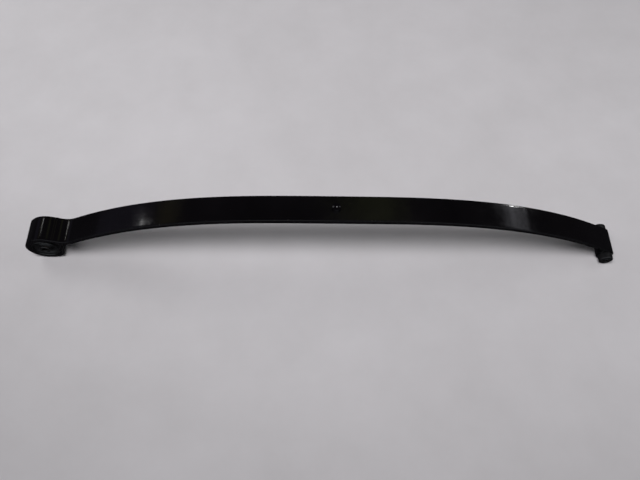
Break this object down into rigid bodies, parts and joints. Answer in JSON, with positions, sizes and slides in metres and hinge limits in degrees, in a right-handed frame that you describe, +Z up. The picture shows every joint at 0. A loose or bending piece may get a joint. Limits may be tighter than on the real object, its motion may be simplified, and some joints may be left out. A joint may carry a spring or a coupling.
{
  "type": "leaf spring",
  "caption": "Single-leaf vehicle suspension spring, arched, with a large bonded bush in the front eye, a split rubber bush in the small rear eye and a centre bolt.",
  "frame": {"origin": "centre of the spring seat: where the centre bolt's axis meets the leaf's upper face", "axes": "+X along the leaf from the front eye to the rear (shackle) eye, +Y across the leaf and along both eyes, +Z up; the leaf is arched convex side up and both eyes would stand on one level floor"},
  "size_m": [1.3875, 0.094, 0.1918],
  "materials": {
    "leaf_paint": "gloss black paint over spring steel",
    "bolt_steel": "painted over with the leaf, worn at the rim",
    "nut_steel": "painted over with the leaf",
    "can_steel": "black coated steel",
    "front_rubber": "matt black moulded rubber",
    "front_tube_steel": "zinc plated, dulled",
    "rear_rubber": "satin black moulded rubber",
    "rear_tube_steel": "zinc plated, dulled"
  },
  "bodies": {
    "seat": {"main_leaf": "leaf_paint", "centre_bolt": "bolt_steel", "centre_nut": "nut_steel"},
    "front_eye": {"front_bush_can": "can_steel", "front_bush_rubber": "front_rubber"},
    "front_tube": {"front_bush_tube": "front_tube_steel"},
    "rear_eye": {"rear_bush_near": "rear_rubber", "rear_bush_far": "rear_rubber"},
    "rear_tube": {"rear_bush_tube": "rear_tube_steel"}
  },
  "joints": [
    {"name": "front_arm_flex", "type": "hinge", "parent": "seat", "child": "front_eye", "pos_m": [-0.20625, 0, -0.00707], "axis": [0, 1, 0], "range_deg": [-2, 18], "stiffness_Nm_per_rad": 5000, "deforming": ["main_leaf"]},
    {"name": "rear_arm_flex", "type": "hinge", "parent": "seat", "child": "rear_eye", "pos_m": [0.2, 0, -0.01227], "axis": [0, -1, 0], "range_deg": [-2, 18], "stiffness_Nm_per_rad": 4600, "deforming": ["main_leaf"]},
    {"name": "front_bush_twist", "type": "hinge", "parent": "front_eye", "child": "front_tube", "pos_m": [-0.675, 0, -0.14175], "axis": [0, 1, 0], "range_deg": [-25, 25], "stiffness_Nm_per_rad": 100},
    {"name": "rear_bush_twist", "type": "hinge", "parent": "rear_eye", "child": "rear_tube", "pos_m": [0.65, 0, -0.16525], "axis": [0, 1, 0], "range_deg": [-25, 25], "stiffness_Nm_per_rad": 30}
  ]
}
